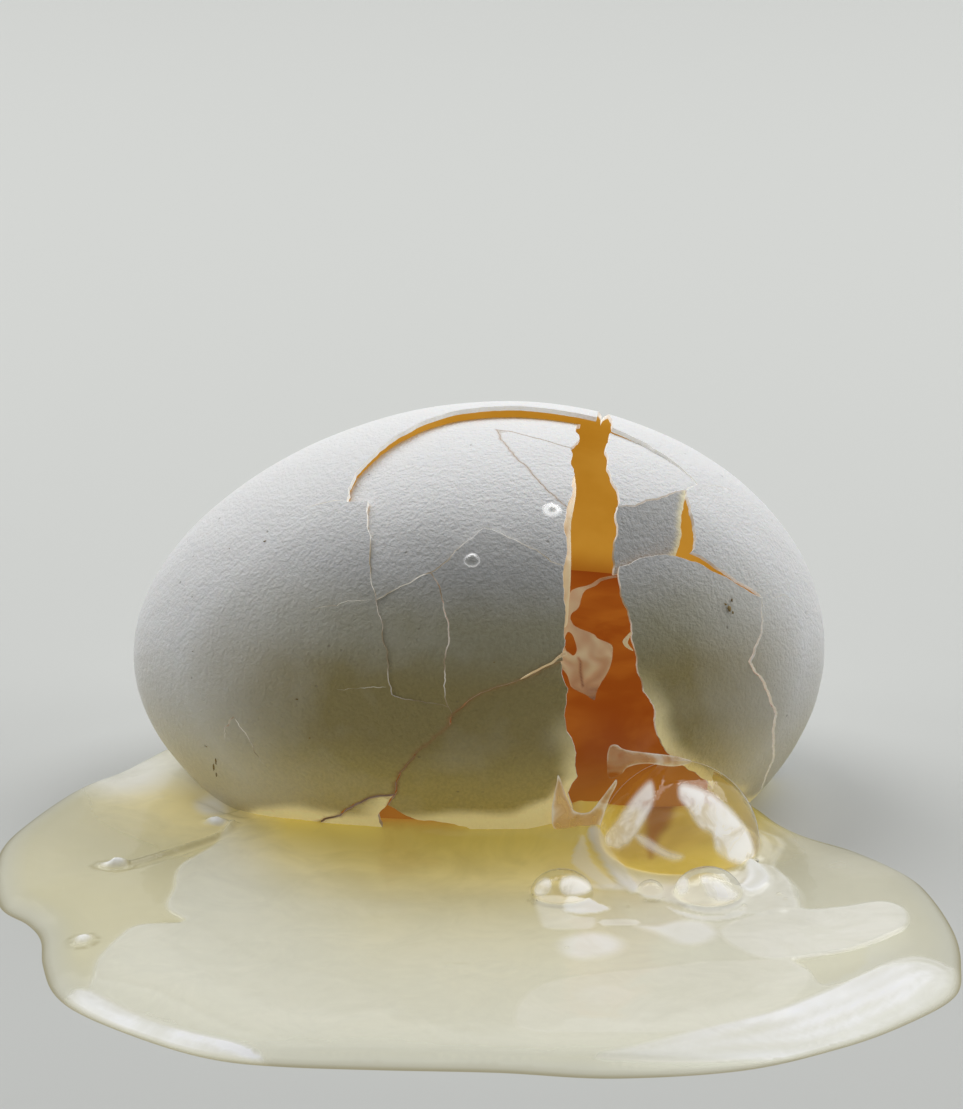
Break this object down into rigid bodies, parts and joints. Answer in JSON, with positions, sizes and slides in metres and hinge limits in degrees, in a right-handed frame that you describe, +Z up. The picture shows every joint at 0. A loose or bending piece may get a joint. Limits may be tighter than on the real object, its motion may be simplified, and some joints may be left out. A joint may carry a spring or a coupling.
{
  "type": "cracked eggshell",
  "caption": "Cracked hen's egg lying on its side, its broken shell gaping open over the contents, with white run out into a flat bubbled pool.",
  "frame": {"origin": "centre of the bounding box's underside, which is the table the pool and the crushed shell rest on", "axes": "+X along the egg from its pointed to its blunt end, +Y away from the open front, +Z up"},
  "size_m": [0.0827, 0.0859, 0.0344],
  "materials": {
    "shell_white": "matt, finely pored white eggshell",
    "inner_skin": "wet translucent skin, pinkish cream",
    "amber_inside": "wet deep amber, lit through the shell",
    "pool_white": "clear pale straw liquid, glossy",
    "bubble_film": "thin clear liquid film, glossy"
  },
  "bodies": {
    "root": {"main_shell": "shell_white", "plate_upper": "shell_white", "plate_flake": "shell_white", "plate_left": "shell_white", "plate_middle": "shell_white", "plate_lower": "shell_white", "plate_chip": "shell_white", "plate_right_top": "shell_white", "plate_right_fold": "shell_white", "plate_right_low": "shell_white", "inner_skin": "inner_skin", "white_inside": "amber_inside", "white_pool": "pool_white", "bubble_large": "bubble_film", "bubble_right": "bubble_film", "bubble_left": "bubble_film"}
  },
  "joints": []
}
